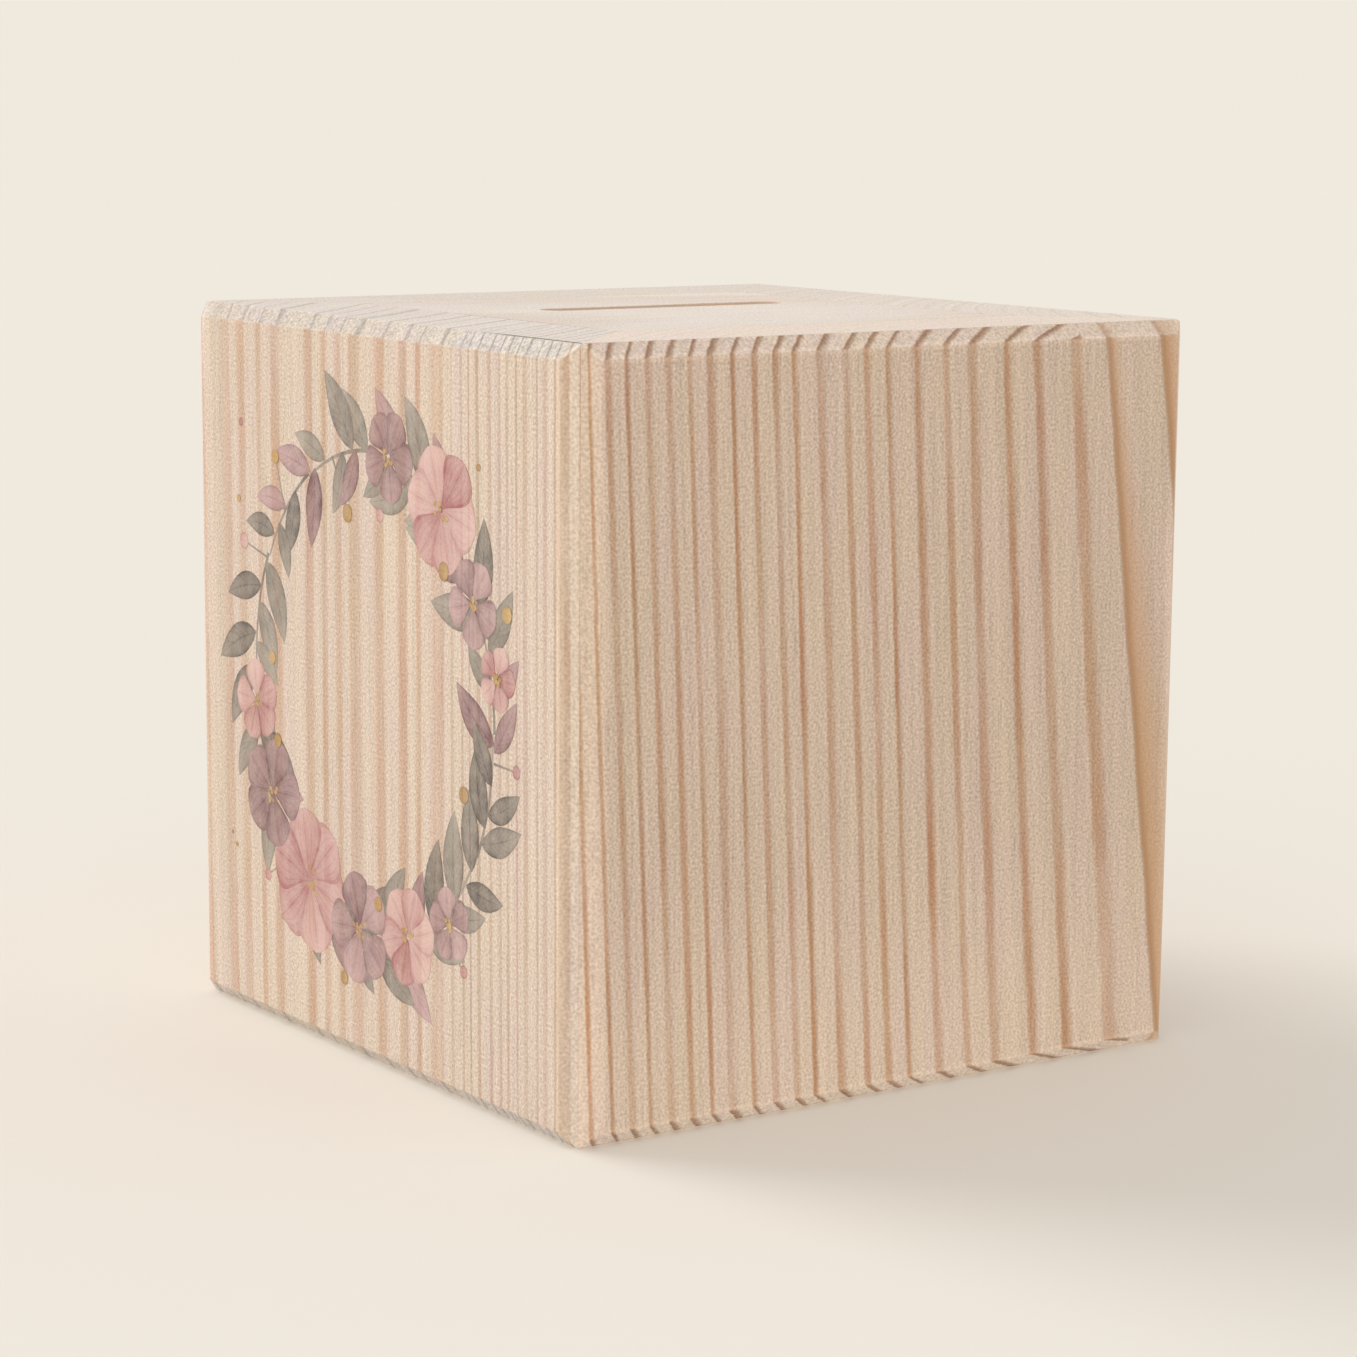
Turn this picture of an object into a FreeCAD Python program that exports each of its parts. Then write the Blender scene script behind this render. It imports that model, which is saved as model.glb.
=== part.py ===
"""A cube money box of pine boards: mitred walls, a slotted top panel and a stopper underneath.

Frame: millimetres, +Z up, origin at the middle of the underside, the front wall facing -Y.
"""
import FreeCAD
import Part
import Sketcher
import math
import os

DIMENSIONS = (
    ("box_width", 100, "outside of the box, left to right"),
    ("box_depth", 100, "outside of the box, front to back"),
    ("box_height", 100, "outside of the box, underside to top"),
    ("wall_thickness", 18, "thickness of the wall boards"),
    ("corner_chamfer", 3.5, "leg of the chamfer down each upright corner"),
    ("edge_chamfer", 2, "leg of the chamfer round the top and the underside"),
    ("narrow_stave", 29, "width of the front wall's narrow stave at its outer face"),
    ("panel_thickness", 12, "thickness of the top and bottom panels"),
    ("bottom_recess", 2, "how far the bottom panel lies above the walls' lower ends"),
    ("tongue_thickness", 5, "thickness of the tongue round each panel"),
    ("tongue_length", 5, "how far the tongue reaches into the walls"),
    ("panel_fit", 0.15, "room left between a panel and the walls"),
    ("slot_length", 40, "coin slot, end to end"),
    ("slot_width", 5, "coin slot, side to side"),
    ("slot_shift_left", 8, "coin slot's middle, left of the box's middle"),
    ("slot_shift_back", 2.5, "coin slot's middle, behind the box's middle"),
    ("spline_thickness", 3, "thickness of the spline in each mitre"),
    ("spline_width", 10, "width of the spline across the mitre"),
    ("spline_stop", 8, "distance from the panels to the ends of a spline's slot"),
    ("spline_fit", 0.1, "room left round a spline in its slot"),
    ("hole_diameter", 38, "emptying hole through the bottom panel"),
    ("seat_diameter", 46, "counterbore for the stopper's flange"),
    ("seat_depth", 4, "depth of that counterbore"),
    ("seat_gap", 0.2, "room between the flange and the counterbore's floor"),
    ("flange_fit", 0.5, "room round the flange in the counterbore"),
    ("flange_thickness", 3, "thickness of the stopper's flange"),
    ("plug_fit", 0.3, "room between the stopper's ribs and the hole"),
    ("plug_reach", 1, "how far the stopper's tip stands above the bottom panel"),
    ("plug_wall", 2.5, "wall and web of the hollow stopper"),
    ("tip_chamfer", 1, "lead-in chamfer at the stopper's tip"),
    ("rib_height", 0.6, "height of the stopper's sealing ribs"),
    ("rib_spacing", 3, "distance between the sealing ribs"),
    ("grip_thickness", 6, "thickness of the finger grip across the stopper"),
)

SIZES = {alias: value for alias, value, note in DIMENSIONS}

HALF_WIDTH = "dims.box_width / 2"
HALF_DEPTH = "dims.box_depth / 2"
INSIDE_WIDTH = "(dims.box_width - 2 * dims.wall_thickness)"
INSIDE_DEPTH = "(dims.box_depth - 2 * dims.wall_thickness)"
TOP_TONGUE_Z = "(dims.box_height - dims.panel_thickness)"
BOTTOM_INNER_Z = "(dims.bottom_recess + dims.panel_thickness)"
BOTTOM_TONGUE_Z = f"({BOTTOM_INNER_Z} - dims.tongue_thickness)"
SPLINE_FOOT_Z = f"({BOTTOM_INNER_Z} + dims.spline_stop)"
SPLINE_SLOT_LENGTH = f"({TOP_TONGUE_Z} - dims.spline_stop - {SPLINE_FOOT_Z})"
SPLINE_OFFSET = "(dims.wall_thickness + dims.corner_chamfer / 2) / 2"

# The four mitred corners: name, side of the box in X and in Y.
CORNERS = (
    ("front_left", -1, -1),
    ("front_right", 1, -1),
    ("back_right", 1, 1),
    ("back_left", -1, 1),
)
# The four walls: name, outer length, outside size across the box, turn about Z.
WALLS = (
    ("front_wall", "dims.box_width", "dims.box_depth", 0),
    ("right_wall", "dims.box_depth", "dims.box_width", 90),
    ("back_wall", "dims.box_width", "dims.box_depth", 180),
    ("left_wall", "dims.box_depth", "dims.box_width", 270),
)
UP = FreeCAD.Vector(0, 0, 1)


def make_sheet(doc):
    """Write the driving dimensions into the spreadsheet."""
    sheet = doc.addObject("Spreadsheet::Sheet", "dims")
    for row, (alias, value, note) in enumerate(DIMENSIONS, start=1):
        sheet.set(f"A{row}", note)
        sheet.set(f"B{row}", str(value))
        sheet.setAlias(f"B{row}", alias)
    doc.recompute()


def bind(item, **expressions):
    """Bind an object's sizes to expressions of the sheet's cells."""
    for size, expression in expressions.items():
        item.setExpression(size, expression)
    return item


def place(item, x="0", y="0", z="0"):
    """Bind where an object stands."""
    item.setExpression("Placement.Base.x", x)
    item.setExpression("Placement.Base.y", y)
    item.setExpression("Placement.Base.z", z)
    return item


def closed_outline(sketch, points):
    """Draw a closed outline through points, each an (across, up) pair of expressions."""
    count = len(points)
    start = [
        FreeCAD.Vector(math.cos(math.tau * i / count), math.sin(math.tau * i / count), 0)
        for i in range(count)
    ]
    for i in range(count):
        sketch.addGeometry(Part.LineSegment(start[i], start[(i + 1) % count]))
    for i in range(count):
        sketch.addConstraint(Sketcher.Constraint("Coincident", i, 2, (i + 1) % count, 1))
    for i, (across, up) in enumerate(points):
        for kind, value, expression in (
            ("DistanceX", start[i].x, across),
            ("DistanceY", start[i].y, up),
        ):
            index = sketch.addConstraint(Sketcher.Constraint(kind, -1, 1, i, 1, value))
            sketch.setExpression(f"Constraints[{index}]", expression)
    return sketch


def circle_outline(sketch, diameter):
    """Draw a circle about the sketch's origin."""
    sketch.addGeometry(Part.Circle(FreeCAD.Vector(), UP, 1))
    sketch.addConstraint(Sketcher.Constraint("Coincident", 0, 3, -1, 1))
    index = sketch.addConstraint(Sketcher.Constraint("Diameter", 0, 2))
    sketch.setExpression(f"Constraints[{index}]", diameter)
    return sketch


def body_sketch(body, name, plane="XY_Plane", height="0"):
    """Add a sketch on one of a body's own planes, raised by height."""
    sketch = body.newObject("Sketcher::SketchObject", name)
    support = [item for item in body.Origin.OriginFeatures if item.Role == plane]
    sketch.AttachmentSupport = (support[0], [""])
    sketch.MapMode = "FlatFace"
    sketch.setExpression("AttachmentOffset.Base.z", height)
    return sketch


def rectangle(width, depth):
    """The corners of a rectangle about the origin, as expressions."""
    return [(f"{sx} * {width} / 2", f"{sy} * {depth} / 2")
            for sx, sy in ((-1, -1), (1, -1), (1, 1), (-1, 1))]


def pad(body, name, sketch, length):
    """Raise a sketch of a body into a solid."""
    feature = body.newObject("PartDesign::Pad", name)
    feature.Profile = sketch
    return bind(feature, Length=length)


def pocket_up(body, name, sketch, length):
    """Cut a sketch of a body upwards by length."""
    feature = body.newObject("PartDesign::Pocket", name)
    feature.Profile = sketch
    feature.Reversed = True
    return bind(feature, Length=length)


def chamfered_prism(doc, name, half_size, bottom, top, cut, length, rotation):
    """A long prism whose section is a rectangle with its four corners cut off."""
    sketch = doc.addObject("Sketcher::SketchObject", f"{name}_section")
    closed_outline(sketch, [
        (f"{cut} - {half_size}", bottom),
        (f"{half_size} - {cut}", bottom),
        (half_size, f"{bottom} + {cut}"),
        (half_size, f"{top} - {cut}"),
        (f"{half_size} - {cut}", top),
        (f"{cut} - {half_size}", top),
        (f"-{half_size}", f"{top} - {cut}"),
        (f"-{half_size}", f"{bottom} + {cut}"),
    ])
    sketch.Placement = FreeCAD.Placement(FreeCAD.Vector(), rotation)
    prism = doc.addObject("Part::Extrusion", name)
    prism.Base = sketch
    prism.DirMode = "Normal"
    prism.Solid = True
    prism.Symmetric = True
    return bind(prism, LengthFwd=length)


def make_cube_form(doc):
    """The outside of the glued-up box, with every edge chamfered."""
    edge = "dims.edge_chamfer"
    upright = chamfered_prism(
        doc, "plan_form", HALF_WIDTH, f"-{HALF_DEPTH}", HALF_DEPTH,
        "dims.corner_chamfer", "2 * dims.box_height", FreeCAD.Rotation())
    front_view = chamfered_prism(
        doc, "front_form", HALF_WIDTH, "0", "dims.box_height",
        edge, "2 * dims.box_depth", FreeCAD.Rotation(0, 0, 90))
    side_view = chamfered_prism(
        doc, "side_form", HALF_DEPTH, "0", "dims.box_height",
        edge, "2 * dims.box_width", FreeCAD.Rotation(90, 0, 90))
    form = doc.addObject("Part::MultiCommon", "cube_form")
    form.Shapes = [upright, front_view, side_view]
    return form


def make_groove(doc, name, tongue_z):
    """The space that a panel's tongue takes in the walls."""
    reach = "2 * (dims.tongue_length + dims.panel_fit)"
    groove = doc.addObject("Part::Box", name)
    bind(groove, Length=f"{INSIDE_WIDTH} + {reach}", Width=f"{INSIDE_DEPTH} + {reach}",
         Height="dims.tongue_thickness + dims.panel_fit")
    return place(groove, f"-({INSIDE_WIDTH} + {reach}) / 2", f"-({INSIDE_DEPTH} + {reach}) / 2", tongue_z)


def make_spline_block(doc, name, side_x, side_y, room):
    """A flat strip that stands in a mitre, square to it, with room on every side."""
    width = f"(dims.spline_width + 2 * {room})"
    thickness = f"(dims.spline_thickness + 2 * {room})"
    turn = math.degrees(math.atan2(side_x, -side_y))
    rotation = FreeCAD.Rotation(UP, turn)
    block = doc.addObject("Part::Box", name)
    block.Placement = FreeCAD.Placement(FreeCAD.Vector(), rotation)
    # The strip's middle lies halfway along the mitre, and its corner half its own size away.
    across = rotation.multVec(FreeCAD.Vector(1, 0, 0))
    along = rotation.multVec(FreeCAD.Vector(0, 1, 0))
    corner_x = f"({across.x} * {width} + {along.x} * {thickness}) / 2"
    corner_y = f"({across.y} * {width} + {along.y} * {thickness}) / 2"
    bind(block, Length=width, Width=thickness, Height=f"{SPLINE_SLOT_LENGTH} - 2 * (dims.spline_fit - {room})")
    return place(
        block,
        f"{side_x} * ({HALF_WIDTH} - {SPLINE_OFFSET}) - {corner_x}",
        f"{side_y} * ({HALF_DEPTH} - {SPLINE_OFFSET}) - {corner_y}",
        f"{SPLINE_FOOT_Z} + (dims.spline_fit - {room})")


def make_walls(doc):
    """Four mitred boards, grooved for the panels and slotted for the splines."""
    form = make_cube_form(doc)
    joinery = doc.addObject("Part::MultiFuse", "joinery")
    joinery.Shapes = [
        make_groove(doc, "top_groove", TOP_TONGUE_Z),
        make_groove(doc, "bottom_groove", BOTTOM_TONGUE_Z),
    ] + [
        make_spline_block(doc, f"spline_slot_{name}", side_x, side_y, "dims.spline_fit")
        for name, side_x, side_y in CORNERS
    ]
    walls = {}
    for name, length, across, turn in WALLS:
        board = doc.addObject("Part::Wedge", f"{name}_board")
        bind(board, Xmin=f"-{length} / 2", Xmax=f"{length} / 2",
             X2min=f"dims.wall_thickness - {length} / 2", X2max=f"{length} / 2 - dims.wall_thickness",
             Ymin=f"-{across} / 2", Ymax=f"dims.wall_thickness - {across} / 2",
             Zmin="0", Zmax="dims.box_height", Z2min="0", Z2max="dims.box_height")
        board.Placement = FreeCAD.Placement(FreeCAD.Vector(), FreeCAD.Rotation(UP, turn))
        shaped = doc.addObject("Part::MultiCommon", f"{name}_shaped")
        shaped.Shapes = [form, board]
        wall = doc.addObject("Part::Cut", name)
        wall.Base = shaped
        wall.Tool = joinery
        walls[name] = wall
    return walls


def make_front_staves(doc, front_wall):
    """The front wall's two edge-glued staves, the narrow one at the right."""
    glue_line = f"({HALF_WIDTH} - dims.narrow_stave)"
    staves = []
    for name, left, width in (
        ("front_wall_wide_stave", f"-{HALF_WIDTH}", "dims.box_width - dims.narrow_stave"),
        ("front_wall_narrow_stave", glue_line, "dims.narrow_stave"),
    ):
        strip = doc.addObject("Part::Box", f"{name}_strip")
        bind(strip, Length=width, Width=HALF_DEPTH, Height="dims.box_height")
        place(strip, left, f"-{HALF_DEPTH}")
        stave = doc.addObject("Part::MultiCommon", name)
        stave.Shapes = [front_wall, strip]
        staves.append(stave)
    return staves


def make_panel(doc, name, outer_z, tongue_z):
    """A square panel with a tongue round it, flush with the panel's inner face."""
    body = doc.addObject("PartDesign::Body", name)
    field_room = "2 * dims.panel_fit"
    field = closed_outline(
        body_sketch(body, f"{name}_field_plan", height=outer_z),
        rectangle(f"({INSIDE_WIDTH} - {field_room})", f"({INSIDE_DEPTH} - {field_room})"))
    pad(body, f"{name}_field", field, "dims.panel_thickness")
    tongue = closed_outline(
        body_sketch(body, f"{name}_tongue_plan", height=tongue_z),
        rectangle(f"({INSIDE_WIDTH} + 2 * dims.tongue_length)", f"({INSIDE_DEPTH} + 2 * dims.tongue_length)"))
    pad(body, f"{name}_tongue", tongue, "dims.tongue_thickness")
    return body


def make_top_panel(doc):
    """The top panel, flush with the walls, with the round-ended coin slot."""
    body = make_panel(doc, "top_panel", TOP_TONGUE_Z, TOP_TONGUE_Z)
    sketch = body_sketch(body, "slot_plan", height=TOP_TONGUE_Z)
    half_straight = "(dims.slot_length - dims.slot_width) / 2"
    # The outline is first drawn at its place, so that its arcs keep their sense when it is bound.
    middle = FreeCAD.Vector(-SIZES["slot_shift_left"], SIZES["slot_shift_back"], 0)
    radius = SIZES["slot_width"] / 2
    reach = FreeCAD.Vector(0, SIZES["slot_length"] / 2 - radius, 0)
    side = FreeCAD.Vector(radius, 0, 0)
    sketch.addGeometry(Part.LineSegment(middle + side - reach, middle + side + reach))
    sketch.addGeometry(Part.ArcOfCircle(Part.Circle(middle + reach, UP, radius), 0, math.pi))
    sketch.addGeometry(Part.LineSegment(middle - side + reach, middle - side - reach))
    sketch.addGeometry(Part.ArcOfCircle(Part.Circle(middle - reach, UP, radius), math.pi, math.tau))
    for line, line_end, arc, arc_end in ((0, 2, 1, 1), (2, 1, 1, 2), (2, 2, 3, 1), (0, 1, 3, 2)):
        sketch.addConstraint(Sketcher.Constraint("Tangent", line, line_end, arc, arc_end))
    back_end = middle + reach
    front_end = middle - reach
    sizes = (
        (Sketcher.Constraint("DistanceX", -1, 1, 1, 3, back_end.x), "-dims.slot_shift_left"),
        (Sketcher.Constraint("DistanceY", -1, 1, 1, 3, back_end.y), f"dims.slot_shift_back + {half_straight}"),
        (Sketcher.Constraint("DistanceX", -1, 1, 3, 3, front_end.x), "-dims.slot_shift_left"),
        (Sketcher.Constraint("DistanceY", -1, 1, 3, 3, front_end.y), f"dims.slot_shift_back - {half_straight}"),
        (Sketcher.Constraint("Radius", 1, radius), "dims.slot_width / 2"),
    )
    for constraint, expression in sizes:
        index = sketch.addConstraint(constraint)
        sketch.setExpression(f"Constraints[{index}]", expression)
    pocket_up(body, "coin_slot", sketch, "dims.panel_thickness")
    return body


def make_bottom_panel(doc):
    """The bottom panel, with the emptying hole and the seat for the stopper's flange."""
    body = make_panel(doc, "bottom_panel", "dims.bottom_recess", BOTTOM_TONGUE_Z)
    hole = circle_outline(body_sketch(body, "hole_plan", height="dims.bottom_recess"), "dims.hole_diameter")
    pocket_up(body, "emptying_hole", hole, "dims.panel_thickness")
    seat = circle_outline(body_sketch(body, "seat_plan", height="dims.bottom_recess"), "dims.seat_diameter")
    pocket_up(body, "flange_seat", seat, "dims.seat_depth")
    return body


def make_stopper(doc):
    """The soft stopper: a hollow ribbed plug with a flange and a finger grip across it."""
    body = doc.addObject("PartDesign::Body", "stopper")
    flange_top = "(dims.bottom_recess + dims.seat_depth - dims.seat_gap)"
    flange_foot = f"({flange_top} - dims.flange_thickness)"
    tip = f"({BOTTOM_INNER_Z} + dims.plug_reach)"
    web = f"({tip} - dims.plug_wall)"
    flange_radius = "(dims.seat_diameter / 2 - dims.flange_fit)"
    rib_radius = "(dims.hole_diameter / 2 - dims.plug_fit)"
    plug_radius = f"({rib_radius} - dims.rib_height)"
    hollow_radius = f"({plug_radius} - dims.plug_wall)"
    middle = f"(({flange_top} + {BOTTOM_INNER_Z}) / 2)"
    ribs = []
    for side in (1, -1):
        height = f"({middle} + {side} * dims.rib_spacing / 2)"
        ribs += [
            (plug_radius, f"{height} + dims.rib_height"),
            (rib_radius, height),
            (plug_radius, f"{height} - dims.rib_height"),
        ]
    section = closed_outline(body_sketch(body, "stopper_section", "XZ_Plane"), [
        ("0", tip),
        (f"{plug_radius} - dims.tip_chamfer", tip),
        (plug_radius, f"{tip} - dims.tip_chamfer"),
        *ribs,
        (plug_radius, flange_top),
        (flange_radius, flange_top),
        (flange_radius, flange_foot),
        (hollow_radius, flange_foot),
        (hollow_radius, web),
        ("0", web),
    ])
    turned = body.newObject("PartDesign::Revolution", "stopper_turned")
    turned.Profile = section
    turned.ReferenceAxis = (section, ["V_Axis"])
    turned.Angle = 360
    grip = closed_outline(
        body_sketch(body, "grip_plan", height=flange_foot),
        rectangle(f"(2 * {hollow_radius} + dims.plug_wall)", "dims.grip_thickness"))
    pad(body, "finger_grip", grip, f"{web} + dims.plug_wall / 2 - {flange_foot}")
    return body


def make_splines(doc):
    """A spline for each mitre, stopped short of the box's ends."""
    return [make_spline_block(doc, f"spline_{name}", side_x, side_y, "0") for name, side_x, side_y in CORNERS]


def check(doc, pieces):
    """Stop if any object failed, or a piece isn't one valid solid."""
    for item in doc.Objects:
        if {"Invalid", "Error"} & set(item.State):
            raise RuntimeError(f"{item.Label} failed: {item.State}")
    for piece in pieces:
        shape = piece.Shape
        if shape.isNull() or not shape.isValid() or len(shape.Solids) != 1:
            raise RuntimeError(f"{piece.Label} isn't one valid solid")
        box = shape.BoundBox
        print(f"{piece.Label}: {shape.Volume:.1f} mm3, {box.XLength:.2f} x {box.YLength:.2f} x {box.ZLength:.2f}")


def main():
    doc = FreeCAD.newDocument("money_box")
    make_sheet(doc)
    walls = make_walls(doc)
    pieces = make_front_staves(doc, walls.pop("front_wall"))
    pieces += walls.values()
    pieces += [make_top_panel(doc), make_bottom_panel(doc), make_stopper(doc)]
    pieces += make_splines(doc)
    doc.recompute()
    check(doc, pieces)
    os.makedirs("parts", exist_ok=True)
    for piece in pieces:
        piece.Shape.exportStep(os.path.join("parts", f"{piece.Label}.step"))


main()
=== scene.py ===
"""Dresses the pine money box: growth rings, soft edges, a printed wreath, a rubber stopper and a stage."""
import math
import random

import bmesh
import bpy
from bpy.props import FloatProperty, FloatVectorProperty, IntProperty, PointerProperty
from mathutils import Matrix, Vector


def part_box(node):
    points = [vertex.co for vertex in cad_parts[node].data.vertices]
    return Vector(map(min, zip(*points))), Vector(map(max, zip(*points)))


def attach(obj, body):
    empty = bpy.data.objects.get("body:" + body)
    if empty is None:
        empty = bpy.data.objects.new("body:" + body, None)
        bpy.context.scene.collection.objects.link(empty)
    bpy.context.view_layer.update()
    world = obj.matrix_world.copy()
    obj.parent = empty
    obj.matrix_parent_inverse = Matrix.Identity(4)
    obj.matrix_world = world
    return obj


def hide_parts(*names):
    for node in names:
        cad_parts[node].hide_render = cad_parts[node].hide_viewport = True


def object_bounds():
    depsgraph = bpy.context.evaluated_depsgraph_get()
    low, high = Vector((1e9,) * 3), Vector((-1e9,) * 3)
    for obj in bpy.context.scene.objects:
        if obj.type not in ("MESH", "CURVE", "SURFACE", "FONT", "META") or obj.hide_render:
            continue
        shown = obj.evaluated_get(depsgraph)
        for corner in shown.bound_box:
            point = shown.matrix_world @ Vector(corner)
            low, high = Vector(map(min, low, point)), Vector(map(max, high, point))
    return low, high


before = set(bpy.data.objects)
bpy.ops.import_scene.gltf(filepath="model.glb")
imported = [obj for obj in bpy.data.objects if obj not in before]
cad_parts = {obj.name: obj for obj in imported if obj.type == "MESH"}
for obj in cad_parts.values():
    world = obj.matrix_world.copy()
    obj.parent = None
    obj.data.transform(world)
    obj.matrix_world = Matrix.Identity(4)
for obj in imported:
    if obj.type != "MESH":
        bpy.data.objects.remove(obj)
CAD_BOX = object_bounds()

bl_info = {
    "name": "Pine Money Box",
    "version": (1, 0, 0),
    "blender": (4, 5, 0),
    "location": "View3D > Sidebar > Money Box",
    "description": "Finishes the boards, print and stopper of a cube money box and sets its stage",
    "category": "Object",
}

MM = 0.001

BOX_MIDDLE = (CAD_BOX[0] + CAD_BOX[1]) / 2
BOX_TOP = CAD_BOX[1].z
FRONT_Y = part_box("front_wall_wide_stave")[0].y
GLUE_LINE_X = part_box("front_wall_wide_stave")[1].x
EDGE_CHAMFER = 2 * MM
PANEL_TONGUE = 6 * MM
PANEL_HALF_INNER = abs(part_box("top_panel")[1].x) - PANEL_TONGUE

# A face is on the outside when it lies at least this share of the half side from the middle.
OUTSIDE_SHARE = 0.9
# Edges flatter than these angles are left alone, shaded smooth or dissolved.
BOARD_EDGE = math.radians(25)
STOPPER_EDGE = math.radians(50)
SMOOTH_EDGE = math.radians(32)
FLAT_EDGE = math.radians(1)
BEVEL_STEPS = 4
WELD = 0.001 * MM

# What each point of the print carries: its place across and along its blade, and the blade's tone.
INK_MARKS = ("across", "along", "tone")
INK_STEP = 0.0005 * MM
WREATH_SEED = 11

PHOTO_SIDE = 1357
SENSOR_WIDTH = 36
CLIP_NEAR = 0.01
CLIP_FAR = 50
FLOOR_GAP = 0.02 * MM
PALEST_FLOOR = 0.95


def length(title, note, default):
    return FloatProperty(name=title, description=note, default=default, unit="LENGTH",
                         subtype="DISTANCE", precision=5)


def angle(title, note, degrees):
    return FloatProperty(name=title, description=note, default=math.radians(degrees), unit="ROTATION",
                         subtype="ANGLE")


def amount(title, note, default):
    return FloatProperty(name=title, description=note, default=default)


def count(title, note, default):
    return IntProperty(name=title, description=note, default=default, min=1)


def colour(title, note, default):
    return FloatVectorProperty(name=title, description=note, default=default, size=3, subtype="COLOR",
                               min=0, max=1)


def towards(title, note, default):
    return FloatVectorProperty(name=title, description=note, default=default, size=3, subtype="DIRECTION")


def slant(title, note, default):
    return FloatVectorProperty(name=title, description=note, default=default, size=3, subtype="XYZ")


def spot(title, note, default):
    return FloatVectorProperty(name=title, description=note, default=default, size=3, unit="LENGTH",
                               subtype="XYZ")


def board_grain(title, *, pith, lean, pitch, phase, waver, onset, early, late, end_early, end_late, end_line,
                flat_end, end_tone, juvenile=1 * MM, uneven=0.9, foot=0.0, slope=0.0):
    """A property group for one board's growth rings and tones."""
    return type(title, (bpy.types.PropertyGroup,), {"__annotations__": {
        "pith": spot("Pith", "Where the tree's heart lies, level with the board's middle", pith),
        "lean": slant("Lean", "How far the heart moves sideways for each unit along the grain", lean),
        "pitch": length("Ring pitch", "Mean thickness of a yearly ring", pitch),
        "juvenile": length("Juvenile core", "How far from the heart the rings stay wider", juvenile),
        "phase": amount("Phase", "Shift of the rings, in rings", phase),
        "uneven": amount("Uneven", "How much the rings differ in thickness, in rings", uneven),
        "waver": length("Waver", "How far the rings wander from true circles", waver),
        "onset": amount("Onset", "Share of a ring that is pale", onset),
        # Painted light: the lower end is made paler for light bounced up from the floor.
        "foot": amount("Foot", "How much paler the board is at its lower end", foot),
        "early": colour("Earlywood", "Pale wood of spring", early),
        "late": colour("Latewood", "Dark wood of summer", late),
        "end_early": colour("End earlywood", "Pale wood where the grain is cut across", end_early),
        "end_late": colour("End latewood", "Dark wood where the grain is cut across", end_late),
        "end_line": amount("End line", "How far the rings thin to lines on cut grain", end_line),
        "flat_end": amount("Flat end", "Strength of the rings on a level end", flat_end),
        "end_tone": amount("End tone", "How far the pale end tone reaches over the chamfers", end_tone),
        # Painted light and shade: the upward-facing chamfers are made paler, or darker where this is negative,
        # for how the light falls on them.
        "slope": amount("Slope", "How much paler the upper chamfers across the grain are", slope),
    }})


PALE = (0.74, 0.575, 0.445)
PALE_END = (0.72, 0.635, 0.56)
FRONT_END = (0.72, 0.642, 0.578)
AMBER = (0.50, 0.30, 0.175)
UMBER = (0.25, 0.140, 0.085)
GREY_LINE = (0.43, 0.36, 0.31)

# The front staves' upper chamfers get painted shade, the right wall's upper chamfers painted light, and the
# right wall's lower end painted light as if bounced from the floor.
WideStaveGrain = board_grain(
    "WideStaveGrain", pith=(-0.126, -0.131, 0), lean=(0.035, -0.05, 0), pitch=4.3 * MM, phase=0.3,
    uneven=1.1, waver=3.0 * MM, onset=0.43, early=(0.705, 0.57, 0.463), late=(0.575, 0.395, 0.275),
    end_early=FRONT_END, end_late=(0.49, 0.42, 0.365), end_line=1.0, flat_end=0.75, end_tone=0.5,
    slope=-0.14)
NarrowStaveGrain = board_grain(
    "NarrowStaveGrain", pith=(-0.110, -0.150, 0), lean=(0.004, -0.01, 0), pitch=1.8 * MM, phase=0.1,
    waver=0.7 * MM, onset=0.54, early=(0.70, 0.57, 0.465), late=(0.53, 0.385, 0.285),
    end_early=FRONT_END, end_late=GREY_LINE, end_line=1.0, flat_end=0.75, end_tone=1.0, slope=-0.16)
RightWallGrain = board_grain(
    "RightWallGrain", pith=(0.155, 0.060, 0), lean=(-0.018, -0.030, 0), pitch=2.06 * MM, phase=0.20,
    uneven=0.55, waver=1.0 * MM, onset=0.58, foot=0.13, early=(0.668, 0.522, 0.408),
    late=(0.472, 0.268, 0.150), end_early=(0.765, 0.648, 0.555), end_late=(0.36, 0.21, 0.13),
    end_line=0.2, flat_end=0.06, end_tone=0.4, slope=0.13)
BackWallGrain = board_grain(
    "BackWallGrain", pith=(0.060, 0.090, 0), lean=(0.02, 0.01, 0), pitch=3.4 * MM, juvenile=20 * MM,
    phase=0.6, waver=1.6 * MM, onset=0.60, early=PALE, late=AMBER, end_early=PALE_END, end_late=UMBER,
    end_line=0.6, flat_end=0.12, end_tone=0.3)
LeftWallGrain = board_grain(
    "LeftWallGrain", pith=(-0.085, 0.030, 0), lean=(0.015, -0.03, 0), pitch=3.0 * MM, juvenile=20 * MM,
    phase=0.4, waver=1.4 * MM, onset=0.60, early=PALE, late=AMBER, end_early=PALE_END, end_late=UMBER,
    end_line=0.6, flat_end=0.12, end_tone=0.3)
TopPanelGrain = board_grain(
    "TopPanelGrain", pith=(0.010, 0.330, 0), lean=(0.02, 0.03, 0), pitch=4.2 * MM, phase=0.5,
    waver=2.0 * MM, onset=0.34, early=(0.745, 0.665, 0.59), late=(0.70, 0.60, 0.515),
    end_early=PALE_END, end_late=UMBER, end_line=0.6, flat_end=0.4, end_tone=0.5)
BottomPanelGrain = board_grain(
    "BottomPanelGrain", pith=(-0.020, -0.060, 0), lean=(0.02, 0.02, 0), pitch=3.2 * MM, juvenile=10 * MM,
    phase=0.2, waver=1.8 * MM, onset=0.52, early=PALE, late=(0.58, 0.37, 0.23), end_early=PALE_END,
    end_late=UMBER, end_line=0.6, flat_end=0.4, end_tone=0.5)


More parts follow.
